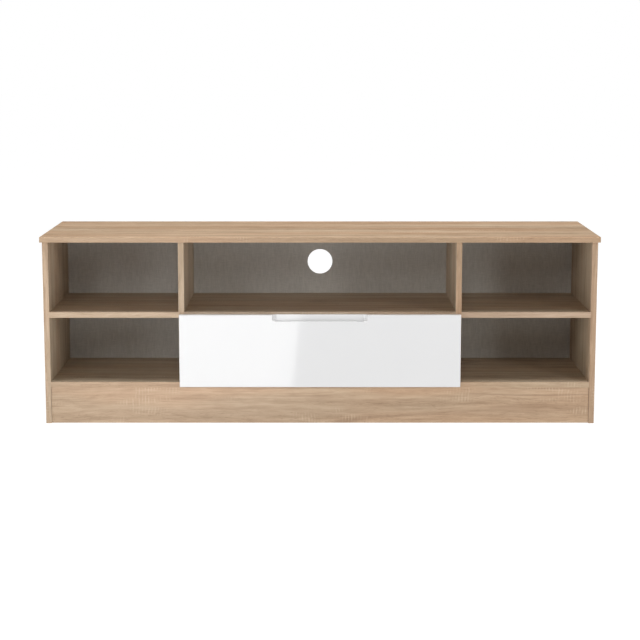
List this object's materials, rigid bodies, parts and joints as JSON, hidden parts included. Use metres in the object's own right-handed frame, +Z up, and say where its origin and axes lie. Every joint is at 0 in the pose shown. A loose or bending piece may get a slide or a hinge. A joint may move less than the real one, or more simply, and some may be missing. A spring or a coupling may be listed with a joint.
{
  "type": "tv stand",
  "caption": "Low wide TV stand in oak-effect board with open shelf bays and one wide white gloss drawer with a milled finger pull, on roller runners.",
  "frame": {"origin": "on the floor, under the middle of the top", "axes": "+X to the right seen from the front, along the width; the front faces -Y; +Z up"},
  "size_m": [1.485, 0.415, 0.507],
  "materials": {
    "oak_decor": "matte",
    "back_board": "matte",
    "white_gloss": "gloss",
    "drawer_board": "matte",
    "drawer_base_board": "matte",
    "beech": "matte",
    "runner_steel": "satin",
    "zinc_steel": "satin",
    "roller_nylon": "satin",
    "bumper": "satin"
  },
  "bodies": {
    "cabinet": {"back_panel": "back_board", "back_panel_pins": "zinc_steel", "bottom_edge_band": "oak_decor", "bottom_panel": "oak_decor", "cabinet_roller_rivets": "zinc_steel", "cabinet_runner_screws": "zinc_steel", "carcass_dowels": "beech", "centre_shelf": "oak_decor", "centre_shelf_edge_band": "oak_decor", "front_plinth": "oak_decor", "left_cabinet_runner": "runner_steel", "left_divider": "oak_decor", "left_divider_edge_band": "oak_decor", "left_shelf": "oak_decor", "left_shelf_edge_band": "oak_decor", "left_side_edge_band": "oak_decor", "left_side_panel": "oak_decor", "plinth_glue_blocks": "beech", "rear_plinth_rail": "oak_decor", "right_cabinet_runner": "runner_steel", "right_divider": "oak_decor", "right_divider_edge_band": "oak_decor", "right_shelf": "oak_decor", "right_shelf_edge_band": "oak_decor", "right_side_edge_band": "oak_decor", "right_side_panel": "oak_decor", "top_front_edge_band": "oak_decor", "top_left_edge_band": "oak_decor", "top_panel": "oak_decor", "top_right_edge_band": "oak_decor"},
    "drawer": {"drawer_back": "drawer_board", "drawer_base": "drawer_base_board", "drawer_base_pins": "zinc_steel", "drawer_bumpers": "bumper", "drawer_dowels": "beech", "drawer_front": "white_gloss", "drawer_front_screws": "zinc_steel", "drawer_inner_front": "drawer_board", "drawer_left_side": "drawer_board", "drawer_right_side": "drawer_board", "drawer_roller_rivets": "zinc_steel", "drawer_runner_screws": "zinc_steel", "left_drawer_runner": "runner_steel", "right_drawer_runner": "runner_steel"},
    "left_cabinet_wheel": {"left_cabinet_roller": "roller_nylon"},
    "left_drawer_wheel": {"left_drawer_roller": "roller_nylon"},
    "right_cabinet_wheel": {"right_cabinet_roller": "roller_nylon"},
    "right_drawer_wheel": {"right_drawer_roller": "roller_nylon"}
  },
  "joints": [
    {"name": "drawer_slide", "type": "slide", "parent": "cabinet", "child": "drawer", "axis": [0, -1, 0], "range_m": [0, 0.26]},
    {"name": "left_cabinet_roller_spin", "type": "hinge", "parent": "cabinet", "child": "left_cabinet_wheel", "pos_m": [-0.3582, -0.1735, 0.131], "axis": [1, 0, 0], "continuous": true},
    {"name": "left_drawer_roller_spin", "type": "hinge", "parent": "drawer", "child": "left_drawer_wheel", "pos_m": [-0.3544, 0.1335, 0.1295], "axis": [1, 0, 0], "continuous": true},
    {"name": "right_cabinet_roller_spin", "type": "hinge", "parent": "cabinet", "child": "right_cabinet_wheel", "pos_m": [0.3582, -0.1735, 0.131], "axis": [1, 0, 0], "continuous": true},
    {"name": "right_drawer_roller_spin", "type": "hinge", "parent": "drawer", "child": "right_drawer_wheel", "pos_m": [0.3544, 0.1335, 0.1295], "axis": [1, 0, 0], "continuous": true}
  ],
  "couplings": [
    {"joint": "left_cabinet_roller_spin", "follows": "drawer_slide", "rad_per_m": 125},
    {"joint": "left_drawer_roller_spin", "follows": "drawer_slide", "rad_per_m": 125},
    {"joint": "right_cabinet_roller_spin", "follows": "drawer_slide", "rad_per_m": 125},
    {"joint": "right_drawer_roller_spin", "follows": "drawer_slide", "rad_per_m": 125}
  ]
}
